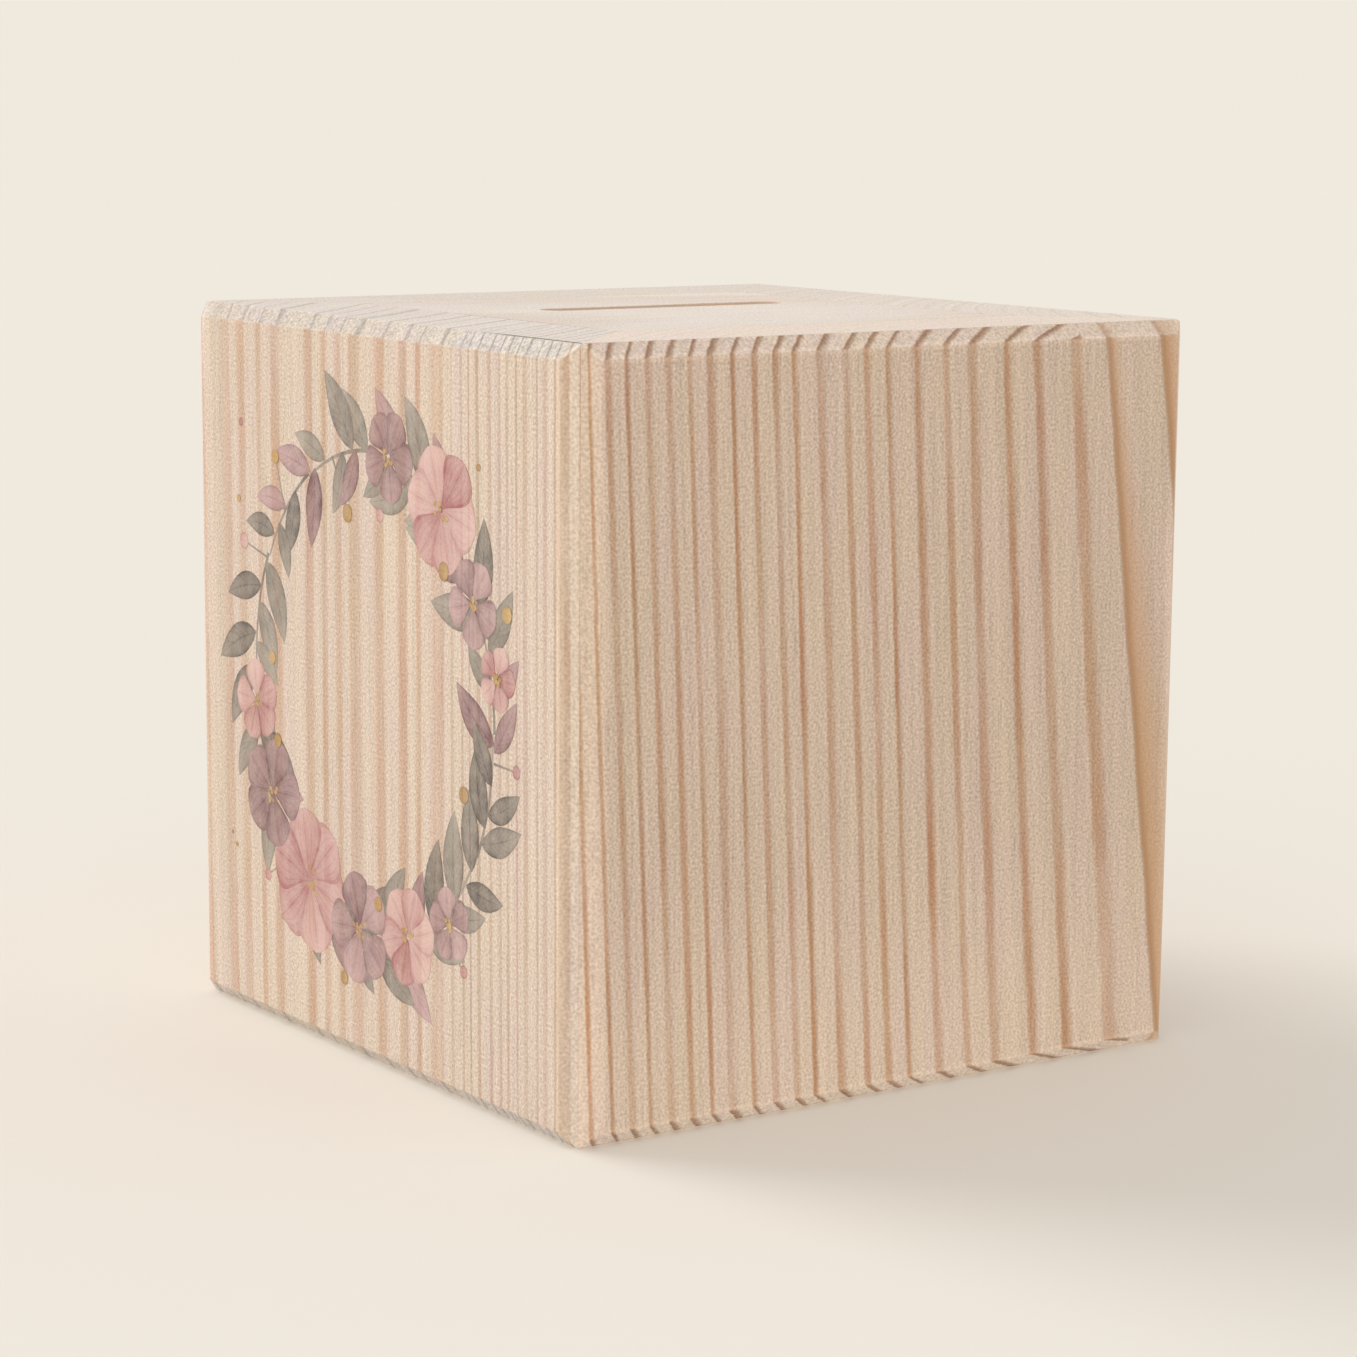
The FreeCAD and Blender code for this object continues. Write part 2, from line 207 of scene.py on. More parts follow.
class WoodMarks(bpy.types.PropertyGroup):
    wedge: colour("Wedge", "Amber wedges on the right wall", (0.56, 0.29, 0.125))
    brink: colour("Brink", "Dark sharp side of each wedge", (0.36, 0.195, 0.10))
    streak: colour("Streak", "Amber streak beside the near corner", (0.60, 0.36, 0.19))
    # A fine dark line painted along the front's top arris.
    check: colour("Check", "Fine crack along the front's top arris", (0.10, 0.085, 0.075))
    slot_wall: colour("Slot wall", "Sawn wood inside the coin slot", (0.80, 0.61, 0.46))
    beech_dark: colour("Dark beech", "Dark fibres of the splines", (0.60, 0.39, 0.24))
    beech_pale: colour("Pale beech", "Pale fibres of the splines", (0.72, 0.51, 0.35))
    beech_fleck: colour("Beech fleck", "Short flecks of the splines", (0.36, 0.20, 0.11))


class EdgeFinish(bpy.types.PropertyGroup):
    arris: length("Arris", "Rounding that sanding leaves on the outer edges", 1.3 * MM)
    seam: length("Seam", "Rounding along the mitres and round the panels", 0.05 * MM)
    mouth: length("Mouth", "Rounding round the coin slot and the emptying hole", 0.4 * MM)
    moulded: length("Moulded edge", "Rounding of the stopper's edges", 0.35 * MM)


class WreathPrint(bpy.types.PropertyGroup):
    half_width: length("Half width", "Wreath's middle to its stem, sideways", 31.5 * MM)
    half_height: length("Half height", "Wreath's middle to its stem, upwards", 33 * MM)
    lift: length("Lift", "How far each layer of ink stands on the wood", 0.004 * MM)
    film: length("Film", "Thickness of the ink, into the wood", 0.12 * MM)
    stem_width: length("Stem width", "Width of the round stem", 0.55 * MM)
    sprig_width: length("Sprig width", "Width of the berries' stalks", 0.35 * MM)
    leaf_length: length("Leaf length", "Length of a middling leaf", 10.5 * MM)
    leaf_width: length("Leaf width", "Width of a middling leaf", 4.2 * MM)
    petal_length: length("Petal length", "Length of a petal at scale 1", 6.4 * MM)
    petal_width: length("Petal width", "Width of a petal at scale 1", 6.2 * MM)
    petal_gap: length("Petal gap", "Blossom's middle to the root of its petals", 0.4 * MM)
    stamen: length("Stamen", "Radius of a stamen's dot", 0.33 * MM)
    arcs: count("Arcs", "Pieces of the round stem", 12)
    leaves: count("Leaves", "Leaves round the stem", 62)
    stamens: count("Stamens", "Dots in the middle of a blossom", 9)
    sprigs: count("Sprigs", "Berries on stalks", 14)
    specks: count("Specks", "Places tried for loose dots round the wreath", 26)
    rose: colour("Rose", "Pale petals", (0.80, 0.54, 0.50))
    rose_deep: colour("Deep rose", "Hearts and rims of the pale petals", (0.36, 0.080, 0.10))
    mauve: colour("Mauve", "Dusky petals and leaves", (0.60, 0.39, 0.40))
    mauve_deep: colour("Deep mauve", "Hearts and rims of the dusky petals", (0.13, 0.040, 0.060))
    sage: colour("Sage", "Grey-green leaves", (0.42, 0.38, 0.32))
    sage_deep: colour("Deep sage", "Rims and bases of the leaves", (0.045, 0.041, 0.038))
    gold: colour("Gold", "Berries and stamens", (0.66, 0.43, 0.13))
    gold_deep: colour("Deep gold", "Shaded side of the berries", (0.36, 0.19, 0.05))


class Rubber(bpy.types.PropertyGroup):
    dark: colour("Dark", "Moulded rubber", (0.022, 0.022, 0.024))
    dusty: colour("Dusty", "Rubber with dust in its grain", (0.070, 0.066, 0.062))


class Stage(bpy.types.PropertyGroup):
    azimuth: angle("Azimuth", "Camera's turn from the front towards the right wall", 55.13)
    elevation: angle("Elevation", "Camera's height above the horizon", 9.33)
    roll: angle("Roll", "Camera's tilt about its view", 0.45)
    distance: length("Distance", "Camera to the box's middle", 0.5086)
    aim_drop: length("Aim drop", "How far under the box's middle the camera looks", 1.6 * MM)
    focal_pixels: amount("Focal length", "Lens's focal length in pixels of the photograph", 3624.8)
    backdrop: colour("Backdrop", "Floor and background", (0.871, 0.815, 0.730))
    sky: colour("Sky", "Soft light from all round", (0.72, 0.715, 0.705))
    key_strength: amount("Key", "Light from the front left", 1.75)
    key_direction: towards("Key direction", "Towards the key light", (-0.80, -0.36, 0.48))
    key_spread: angle("Key spread", "How wide the key light looks from the box", 36)
    fill_strength: amount("Fill", "Weak light from the near corner", 0.42)
    fill_direction: towards("Fill direction", "Towards the fill light", (0.60, -0.68, 0.42))
    fill_spread: angle("Fill spread", "How wide the fill light looks from the box", 80)
    shadow_share: amount("Shadow share", "How much of the floor's tone follows the light", 0.85)
    floor_half: length("Floor", "Half the floor's side", 3.0)


def values_of(kind, title, note):
    return PointerProperty(type=kind, name=title, description=note)


class MoneyBoxFinish(bpy.types.PropertyGroup):
    front_wide: values_of(WideStaveGrain, "Wide stave", "Grain of the front wall's wide stave")
    front_narrow: values_of(NarrowStaveGrain, "Narrow stave", "Grain of the front wall's narrow stave")
    right: values_of(RightWallGrain, "Right wall", "Grain of the right wall")
    back: values_of(BackWallGrain, "Back wall", "Grain of the back wall")
    left: values_of(LeftWallGrain, "Left wall", "Grain of the left wall")
    top: values_of(TopPanelGrain, "Top panel", "Grain of the slotted top panel")
    bottom: values_of(BottomPanelGrain, "Bottom panel", "Grain of the bottom panel")
    marks: values_of(WoodMarks, "Wood marks", "Colours of marks on single boards and of the splines")
    edges: values_of(EdgeFinish, "Edges", "Softening of the edges")
    wreath: values_of(WreathPrint, "Wreath", "Size and inks of the printed wreath")
    rubber: values_of(Rubber, "Rubber", "Colours of the stopper")
    stage: values_of(Stage, "Stage", "Camera, lights and floor")


class Graph:
    """Adds nodes to one shader tree and joins them."""

    def __init__(self, tree):
        self.tree = tree

    def add(self, kind, **settings):
        node = self.tree.nodes.new(kind)
        for name, value in settings.items():
            setattr(node, name, value)
        return node

    def feed(self, socket, value):
        if isinstance(value, bpy.types.NodeSocket):
            self.tree.links.new(value, socket)
        elif socket.type == "RGBA" and len(value) == 3:
            socket.default_value = (*value, 1)
        else:
            socket.default_value = value

    def feed_all(self, node, values):
        """Feed a node's inputs in order, and give its first output."""
        for socket, value in zip(node.inputs, values):
            self.feed(socket, value)
        return node.outputs[0]

    def math(self, operation, *values, clamp=False):
        return self.feed_all(self.add("ShaderNodeMath", operation=operation, use_clamp=clamp), values)

    def vector(self, operation, *values):
        return self.feed_all(self.add("ShaderNodeVectorMath", operation=operation), values)

    def join(self, *values):
        return self.feed_all(self.add("ShaderNodeCombineXYZ"), values)

    def parts(self, vector):
        node = self.add("ShaderNodeSeparateXYZ")
        self.feed(node.inputs[0], vector)
        return tuple(node.outputs)

    def times(self, first, *others):
        """The product of some values."""
        for other in others:
            first = self.math("MULTIPLY", first, other)
        return first

    def plus(self, base, *pairs):
        """A base with effects added, each a pair of the effect and its share."""
        for effect, share in pairs:
            base = self.math("MULTIPLY_ADD", effect, share, base)
        return base

    def minus(self, first, second):
        return self.math("SUBTRACT", first, second)

    def rest(self, value):
        """What a value leaves of one."""
        return self.minus(1.0, value)

    def centred(self, value):
        """A value between 0 and 1, moved to lie round zero."""
        return self.minus(value, 0.5)

    def size(self, value):
        """A value without its sign."""
        return self.math("ABSOLUTE", value)

    def step(self, value, low, high):
        """A smooth step from 0 at low to 1 at high."""
        node = self.add("ShaderNodeMapRange", interpolation_type="SMOOTHSTEP")
        return self.feed_all(node, (value, low, high, 0.0, 1.0))

    def surface(self):
        """Position and normal of the point that is shaded."""
        outputs = self.add("ShaderNodeTexCoord").outputs
        return outputs["Object"], outputs["Normal"]

    def stretched(self, position, share):
        """Coordinates that draw a pattern out along the grain."""
        return self.vector("MULTIPLY", position, (1, 1, share))

    def noise(self, vector, scale, detail=2.0, roughness=0.5):
        node = self.add("ShaderNodeTexNoise")
        self.feed(node.inputs["Vector"], vector)
        for name, value in (("Scale", scale), ("Detail", detail), ("Roughness", roughness)):
            node.inputs[name].default_value = value
        return node.outputs[0]

    def noise_along(self, value, scale):
        node = self.add("ShaderNodeTexNoise", noise_dimensions="1D")
        self.feed(node.inputs["W"], value)
        node.inputs["Scale"].default_value = scale
        node.inputs["Detail"].default_value = 1.0
        return node.outputs[0]

    def mix(self, share, first, second, blend="MIX"):
        node = self.add("ShaderNodeMix", data_type="RGBA", blend_type=blend)
        for index, value in ((0, share), (6, first), (7, second)):
            self.feed(node.inputs[index], value)
        return node.outputs[2]

    def group(self, tree, **values):
        node = self.add("ShaderNodeGroup", node_tree=tree)
        for name, value in values.items():
            self.feed(node.inputs[name.replace("_", " ").capitalize()], value)
        return node.outputs


def shared_group(name, inputs, outputs, fill):
    """The shader node group of this name, which fill builds the first time that it is asked for."""
    tree = bpy.data.node_groups.get(name)
    if tree is None:
        tree = bpy.data.node_groups.new(name, "ShaderNodeTree")
        for way, sockets in (("INPUT", inputs), ("OUTPUT", outputs)):
            for kind, titles in sockets.items():
                for title in titles:
                    tree.interface.new_socket(title, in_out=way, socket_type=f"NodeSocket{kind}")
        graph = Graph(tree)
        fill(graph, graph.add("NodeGroupInput").outputs, graph.add("NodeGroupOutput").inputs)
    return tree


RING_VECTORS = ("Position", "Pith", "Lean")
RING_VALUES = ("Pitch", "Juvenile", "Phase", "Uneven", "Waver", "Onset")
# Slow and quick wander of the rings: how fine it is, and its share.
RING_WANDER = ((16, 1.0), (70, 0.22))
RING_WANDER_STRETCH = 0.35
# Frayed and ragged edges of the rings: stretch along the grain, how fine, detail, and share of a ring.
RING_RAGS = ((0.03, 900, 2.0, 0.11), (0.35, 1100, 1.0, 0.09))
# How the thickness varies from ring to ring and tone within a ring, in changes per ring.
RING_RHYTHM = 0.45
RING_INNER = 3.3
# Seasons as shares of a ring: how its onset varies, how long it darkens, and where its dark part ends.
ONSET_CHANCE = 0.14
LATE_RISE = 0.22
LATE_END = (0.87, 1.0)
# Where the thin line of the ring's last weeks begins and ends.
LINE_START = (0.74, 0.86)
LINE_END = (0.88, 1.0)


def fill_rings(g, given, out):
    """Rings by their distance from a leaning pith, with uneven years and ragged edges."""
    position = given["Position"]
    x, y, z = g.parts(position)
    pith_x, pith_y, _ = g.parts(given["Pith"])
    lean_x, lean_y, _ = g.parts(given["Lean"])
    away_x = g.minus(x, g.plus(pith_x, (lean_x, z)))
    away_y = g.minus(y, g.plus(pith_y, (lean_y, z)))
    radius = g.math("SQRT", g.math("ADD", g.times(away_x, away_x), g.times(away_y, away_y)))
    for scale, share in RING_WANDER:
        swing = g.centred(g.noise(g.stretched(position, RING_WANDER_STRETCH), scale, 1.0))
        radius = g.plus(radius, (g.times(swing, share), given["Waver"]))
    core = g.math("EXPONENT", g.math("DIVIDE", radius, g.times(given["Juvenile"], -1.0)))
    grown = g.plus(radius, (core, given["Juvenile"]))
    age = g.math("ADD", g.math("DIVIDE", grown, given["Pitch"]), given["Phase"])
    age = g.plus(age, (g.centred(g.noise_along(age, RING_RHYTHM)), given["Uneven"]))
    for stretch, scale, detail, share in RING_RAGS:
        age = g.plus(age, (g.centred(g.noise(g.stretched(position, stretch), scale, detail)), share))
    year = g.add("ShaderNodeTexWhiteNoise", noise_dimensions="1D")
    g.feed(year.inputs["W"], g.math("FLOOR", age))
    chance = year.outputs["Value"]
    season = g.math("FRACT", age)
    onset = g.plus(given["Onset"], (g.centred(chance), ONSET_CHANCE))
    rise = g.step(season, onset, g.math("ADD", onset, LATE_RISE))
    g.feed(out["Latewood"], g.times(rise, g.rest(g.step(season, *LATE_END))))
    g.feed(out["Line"], g.times(g.step(season, *LINE_START), g.rest(g.step(season, *LINE_END))))
    g.feed(out["Chance"], chance)
    g.feed(out["Inner"], g.noise_along(age, RING_INNER))


def rings_group():
    """Growth rings: how late in the year each point grew, the ring's end line, and its chance values."""
    return shared_group("growth_rings", {"Vector": RING_VECTORS, "Float": RING_VALUES},
                        {"Float": ("Latewood", "Line", "Chance", "Inner")}, fill_rings)


def fill_fibre(g, given, out):
    """Long fibres and short dashes drawn out along the grain, and a speckle that isn't."""
    position = given["Position"]
    g.feed(out["Streak"], g.noise(g.stretched(position, 0.022), 1300, 4.0, 0.65))
    dashes = g.noise(g.stretched(position, 0.09), 1500, 0.0)
    g.feed(out["Fleck"], g.step(dashes, 0.66, 0.74))
    g.feed(out["Speckle"], g.noise(position, 2800, 0.0))


def fibre_group():
    """Fine marks of sawn and sanded pine: long fibres, short resin flecks and a dusty speckle."""
    return shared_group("pine_fibre", {"Vector": ("Position",)},
                        {"Float": ("Streak", "Fleck", "Speckle")}, fill_fibre)


# Share of the way to an upright corner at which it is worn, its patchiness, and the half width of the painted
# highlight along the chamfer ridge.
CORNER_WEAR = (0.958, 0.972)
CORNER_PATCHES = 0.02
RIDGE_HIGHLIGHT = (0.7 * MM, 0.15 * MM)
# How strong the painted highlight along the ridge is.
RIDGE_HIGHLIGHT_SHARE = 0.7


def fill_wear_and_highlight(g, given, out):
    """Wear by the distance from the corners, and a painted highlight by the distance from the ridge over the
    side walls.
    """
    x, y, z = g.parts(g.vector("ABSOLUTE", given["Position"]))
    near = g.math("DIVIDE", g.math("ADD", x, y), g.times(given["Half side"], 2))
    patchy = g.plus(near, (g.noise(given["Position"], 90), CORNER_PATCHES))
    below = g.minus(g.minus(given["Half side"], EDGE_CHAMFER), z)
    # Painted highlight along the chamfer ridge of the side walls.
    ridge_highlight = g.times(g.step(g.size(below), *RIDGE_HIGHLIGHT), RIDGE_HIGHLIGHT_SHARE)
    on_sides = g.math("GREATER_THAN", x, y)
    g.feed(out["Burnish"], g.math("MAXIMUM", g.step(patchy, *CORNER_WEAR), g.times(ridge_highlight, on_sides)))


def wear_and_highlight_group():
    """Wear where hands and sandpaper reach the upright corners, unevenly, and a painted highlight along the
    side walls' chamfer ridges.
    """
    return shared_group("edge_burnish", {"Vector": ("Position",), "Float": ("Half side",)},
                        {"Float": ("Burnish",)}, fill_wear_and_highlight)


# How square to the grain a face is where it counts as sloping, as level, and where its rings fade.
SLOPING = (0.30, 0.62)
LEVEL = (0.74, 0.97)
RINGS_FADE = (0.80, 0.98)
# Faces turned towards the lower end of the grain axis, on the walls the downward-facing chamfers and
# undersides, get painted shade.
LOWER_SLOPE_SHADE = (-0.35, -0.65)
# Heights from the middle between which a board gets paler towards its lower end: painted light, as if bounced
# up from the floor.
FLOOR_BOUNCE_RANGE = (-10 * MM, -46 * MM)
# Latewood's tint where it blushes.
BLUSH = (1.03, 0.965, 0.96)
# Tints between which the wood drifts.
COOL_TINT = (1.002, 0.993, 1.028)
WARM_TINT = (0.998, 1.001, 0.968)
# Tone and roughness of plain wood before the fine effects.
PLAIN_TONE = 0.83
PLAIN_ROUGHNESS = 0.66


def fill_board(g, given, out):
    """Rings, fibres, wear and painted light and shade mixed to one board's colour, roughness and relief."""
    position, facing, edge = given["Position"], given["Facing"], given["Edge"]
    rings = g.group(rings_group(), **{title.lower(): given[title] for title in RING_VECTORS + RING_VALUES})
    fibre = g.group(fibre_group(), position=position)
    mottle = g.noise(g.stretched(position, 0.2), 180)
    strength = g.plus(-0.105, (mottle, 1.3), (rings["Chance"], 0.42))
    kept = g.rest(given["Calm"])
    late = g.math("MULTIPLY", g.times(rings["Latewood"], strength), kept, clamp=True)
    squareness = g.size(facing)
    cut_across = g.step(squareness, *SLOPING)
    level = g.step(squareness, *LEVEL)
    fade = g.times(g.step(squareness, *RINGS_FADE), g.rest(given["Flat end"]))
    band = g.times(rings["Latewood"], g.rest(given["End line"]))
    band = g.plus(band, (rings["Line"], given["End line"]))
    end_late = g.times(band, kept, g.rest(fade))
    end_share = g.math("MAXIMUM", level, g.times(cut_across, given["End tone"]))
    pale = g.mix(end_share, given["Early"], given["End early"])
    blush = g.step(g.noise(g.stretched(position, 0.12), 260), 0.38, 0.62)
    ruddy = g.mix(blush, given["Late"], g.mix(1.0, given["Late"], BLUSH, "MULTIPLY"))
    side = g.mix(late, pale, ruddy)
    end = g.mix(end_late, pale, given["End late"])
    wood = g.mix(cut_across, side, end)
    drift = g.step(g.noise(g.stretched(position, 0.15), 200), 0.35, 0.65)
    wood = g.mix(1.0, wood, g.mix(drift, COOL_TINT, WARM_TINT), "MULTIPLY")
    cloud = g.noise(g.stretched(position, 0.3), 26)
    painted_upper_slope = g.times(g.step(facing, *SLOPING), g.rest(level))
    painted_lower_shade = g.step(facing, *LOWER_SLOPE_SHADE)
    _, _, along = g.parts(position)
    tone = g.plus(
        PLAIN_TONE,
        (fibre["Streak"], 0.34),
        (g.centred(fibre["Speckle"]), 0.66),
        (fibre["Fleck"], -0.07),
        (g.centred(rings["Inner"]), 0.16),
        (g.centred(cloud), 0.14),
        # Wear at the upright corners and a painted highlight along the chamfer ridges.
        (edge, 0.15),
        # Painted light and shade on the upward-facing chamfers.
        (painted_upper_slope, given["Slope"]),
        # Painted shade on faces turned down the grain axis.
        (painted_lower_shade, -0.14),
        # Painted light on the lower end, as if bounced from the floor.
        (g.step(along, *FLOOR_BOUNCE_RANGE), given["Foot"]),
    )
    g.feed(out["Colour"], g.mix(1.0, wood, g.join(tone, tone, tone), "MULTIPLY"))
    g.feed(out["Roughness"], g.plus(PLAIN_ROUGHNESS, (late, -0.10), (edge, -0.08), (fibre["Streak"], 0.12)))
    g.feed(out["Height"], g.plus(g.times(late, 0.06), (fibre["Streak"], 0.5), (fibre["Speckle"], 0.6)))


def board_group():
    """One pine board's colour, roughness and relief, with the rings darker where the grain is cut across, and
    painted light and shade on its chamfers, ridges and lower end.
    """
    # Edge carries wear and a painted ridge highlight, Foot painted light from the floor, and the slope value
    # painted light and shade.
    values = ("Facing", "Edge", "Foot", "End line", "Flat end", "End tone", "Slope", "Calm")
    inputs = {
        "Vector": RING_VECTORS,
        "Float": RING_VALUES + values,
        "Color": ("Early", "Late", "End early", "End late"),
    }
    return shared_group("pine_board", inputs, {"Color": ("Colour",), "Float": ("Roughness", "Height")},
                        fill_board)


# Amber wedges on the right wall: foot along the wall, lean, and width low down and high up.
FIRST_WEDGE = (46.6 * MM, -0.125, 9.0 * MM, 3.0 * MM)
SECOND_WEDGE = (57.6 * MM, -0.140, 7.0 * MM, 7.0 * MM)
# How far before the first wedge the rings die out.
WEDGE_CALM = (-4.6 * MM, -3.4 * MM)
WEDGE_HEIGHT = 90 * MM
WEDGE_SHARE = 0.85
BRINK_SHARE = 0.5


def past_wedge(g, foot, lean):
    """How far a point of the right wall lies beyond the sharp side of a wedge."""
    position, _ = g.surface()
    _, y, z = g.parts(position)
    wander = g.plus(y, (g.noise(g.join(0.0, 0.0, z), 60), 1.2 * MM))
    return g.minus(wander, g.plus(foot, (z, lean)))


def board_outputs(g, finish, board, grain_axis):
    """Place the pine group in a material with one board's values, its grain along the axis y or z."""
    grain = getattr(finish, board)
    point, normal = g.surface()
    position = g.vector("SUBTRACT", point, tuple(BOX_MIDDLE))
    # Wear at the upright corners and a painted highlight along the side walls' chamfer ridges.
    edge = g.group(wear_and_highlight_group(), position=position, half_side=BOX_MIDDLE.z)["Burnish"]
    x, y, z = g.parts(position)
    turned = {"y": (x, z, y), "z": (x, y, z)}[grain_axis]
    facing = g.parts(normal)["xyz".index(grain_axis)]
    values = {}
    for title in type(grain).__annotations__:
        value = getattr(grain, title)
        values[title] = value if isinstance(value, float) else tuple(value)
    if board == "right":
        foot, lean, _, _ = FIRST_WEDGE
        values["calm"] = g.step(past_wedge(g, foot, lean), *WEDGE_CALM)
    return g.group(board_group(), position=g.join(*turned), facing=facing, edge=edge, **values)


def new_material(name):
    """A material with an empty Principled shader, as the material, its graph and the shader."""
    material = bpy.data.materials.new(name)
    material.use_nodes = True
    return material, Graph(material.node_tree), material.node_tree.nodes["Principled BSDF"]


def add_relief(g, shader, height, strength, distance):
    bump = g.add("ShaderNodeBump")
    bump.inputs["Strength"].default_value = strength
    bump.inputs["Distance"].default_value = distance
    g.feed(bump.inputs["Height"], height)
    g.feed(shader.inputs["Normal"], bump.outputs["Normal"])


def narrow_stave_marks(g, wood, marks):
    """An amber streak beside the near corner and a fine dark line along the top arris."""
    streak_share = 0.32
    arris_line_share = 0.85
    arris_line_y = FRONT_Y + 2.15 * MM
    position, _ = g.surface()
    x, y, z = g.parts(position)
    sway = g.plus(x, (g.noise(g.join(0.0, 0.0, z), 45), 2.0 * MM))
    streak = g.times(g.step(sway, 46.6 * MM, 47.2 * MM), g.step(sway, 48.4 * MM, 47.6 * MM))
    on_front = g.step(y, FRONT_Y + 3.2 * MM, FRONT_Y + 1.5 * MM)
    wood = g.mix(g.times(streak, on_front, streak_share), wood, tuple(marks.streak))
    # A fine dark line along the top arris of the narrow stave.
    check = g.step(g.size(g.minus(y, arris_line_y)), 0.28 * MM, 0.10 * MM)
    on_top = g.step(z, BOX_TOP - 0.6 * MM, BOX_TOP - 0.3 * MM)
    near_corner = g.step(g.math("ADD", x, g.times(sway, 0.2)), 27 * MM, 40 * MM)
    return g.mix(g.times(check, on_top, near_corner, arris_line_share), wood, tuple(marks.check))


def right_wall_marks(g, wood, marks):
    """Two amber wedges at the far edge, where the rings lie almost flat to the face."""
    position, normal = g.surface()
    _, _, z = g.parts(position)
    _, _, level = g.parts(g.vector("ABSOLUTE", normal))
    upright = g.times(g.step(level, 0.90, 0.55), WEDGE_SHARE)
    height = g.math("DIVIDE", z, WEDGE_HEIGHT, clamp=True)
    for foot, lean, low, high in (FIRST_WEDGE, SECOND_WEDGE):
        past = past_wedge(g, foot, lean)
        wide = g.plus(low, (g.times(height, height), high - low))
        fade = g.math("SUBTRACT", 1.0, g.math("DIVIDE", past, wide), clamp=True)
        wedge = g.times(g.step(past, -0.3 * MM, 0.5 * MM), g.math("POWER", fade, 1.3))
        wood = g.mix(g.times(wedge, upright), wood, tuple(marks.wedge))
        brink = g.times(g.step(past, -0.4 * MM, 0.1 * MM), g.step(past, 1.6 * MM, 0.3 * MM))
        wood = g.mix(g.times(brink, upright, BRINK_SHARE), wood, tuple(marks.brink))
    return wood


def slot_marks(g, wood, marks):
    """The warmer brown of the walls inside the coin slot."""
    position, normal = g.surface()
    x, y, _ = g.parts(g.vector("ABSOLUTE", position))
    _, _, level = g.parts(g.vector("ABSOLUTE", normal))
    inside = g.math("LESS_THAN", g.math("MAXIMUM", x, y), PANEL_HALF_INNER)
    return g.mix(g.times(inside, g.step(level, 0.75, 0.35)), wood, tuple(marks.slot_wall))


BOARD_MARKS = {"front_narrow": narrow_stave_marks, "right": right_wall_marks, "top": slot_marks}


def pine_material(finish, board, grain_axis):
    """One board's pine, with the marks that only this board has."""
    material, g, shader = new_material(f"pine_{board}")
    wood = board_outputs(g, finish, board, grain_axis)
    tone = wood["Colour"]
    if board in BOARD_MARKS:
        tone = BOARD_MARKS[board](g, tone, finish.marks)
    g.feed(shader.inputs["Base Color"], tone)
    g.feed(shader.inputs["Roughness"], wood["Roughness"])
    shader.inputs["Specular IOR Level"].default_value = 0.3
    add_relief(g, shader, wood["Height"], 0.3, 0.12 * MM)
    return material


def fill_ink(g, given, out):
    """Depth of the ink by rim, base and veins, unevenly washed, and its cover on the wood."""
    across, along, wood = given["Across"], given["Along"], given["Wood"]
    aside = g.size(across)
    rim = g.math("POWER", aside, 4.0)
    vein = g.step(aside, 0.09, 0.02)
    plain_run = g.times(across, 4.0)
    branched_run = g.plus(g.times(along, 9.0), (aside, -2.4))
    run = g.plus(plain_run, (g.minus(branched_run, plain_run), given["Branching"]))
    side_vein = g.step(g.size(g.centred(g.math("FRACT", run))), 0.16, 0.04)
    wash = g.noise(given["Position"], 420, 3.0, 0.6)
    depth = g.plus(g.times(rim, 0.40), (g.rest(along), 0.42), (vein, 0.26), (side_vein, 0.15))
    depth = g.times(depth, g.plus(0.4, (wash, 1.2)))
    depth = g.math("ADD", depth, g.plus(-0.12, (given["Tone"], 0.55)), clamp=True)
    ink = g.mix(depth, given["Light"], given["Deep"])
    cover = g.math("MULTIPLY_ADD", g.centred(wash), 0.6, 0.80, clamp=True)
    g.feed(out["Colour"], g.mix(cover, wood, g.mix(0.22, ink, wood, "MULTIPLY")))
    g.feed(out["Roughness"], g.plus(0.50, (wash, 0.15)))


def ink_group():
    """Water-colour ink over wood: deeper at its rims, base and veins, with the grain showing through."""
    inputs = {
        "Vector": ("Position",),
        "Float": ("Across", "Along", "Tone", "Branching"),
        "Color": ("Wood", "Light", "Deep"),
    }
    return shared_group("ink_wash", inputs, {"Color": ("Colour",), "Float": ("Roughness",)}, fill_ink)


def ink_material(finish, name, light, deep, branching=0.0):
    """One ink of the print, over whichever front stave lies under it."""
    material, g, shader = new_material(name)
    wide = board_outputs(g, finish, "front_wide", "z")
    narrow = board_outputs(g, finish, "front_narrow", "z")
    position, _ = g.surface()
    x, _, _ = g.parts(position)
    wood = g.mix(g.math("GREATER_THAN", x, GLUE_LINE_X), wide["Colour"], narrow["Colour"])
    marks = {}
    for mark in INK_MARKS:
        marks[mark] = g.add("ShaderNodeAttribute", attribute_name=f"ink_{mark}").outputs["Fac"]
    ink = g.group(ink_group(), position=position, wood=wood, light=tuple(light), deep=tuple(deep),
                  branching=branching, **marks)
    g.feed(shader.inputs["Base Color"], ink["Colour"])
    g.feed(shader.inputs["Roughness"], ink["Roughness"])
    shader.inputs["Specular IOR Level"].default_value = 0.35
    add_relief(g, shader, wide["Height"], 0.25, 0.1 * MM)
    return material


def show(piece, body, material, replaced=None):
    """Give a finished piece its material and body, and let it stand for its CAD node."""
    piece.data.materials.clear()
    piece.data.materials.append(material)
    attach(piece, body)
    if replaced:
        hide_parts(replaced)


def new_piece(name, shape):
    """A new object in the scene with the shape's mesh."""
    mesh = bpy.data.meshes.new(name)
    shape.to_mesh(mesh)
    shape.free()
    piece = bpy.data.objects.new(name, mesh)
    bpy.context.scene.collection.objects.link(piece)
    return piece


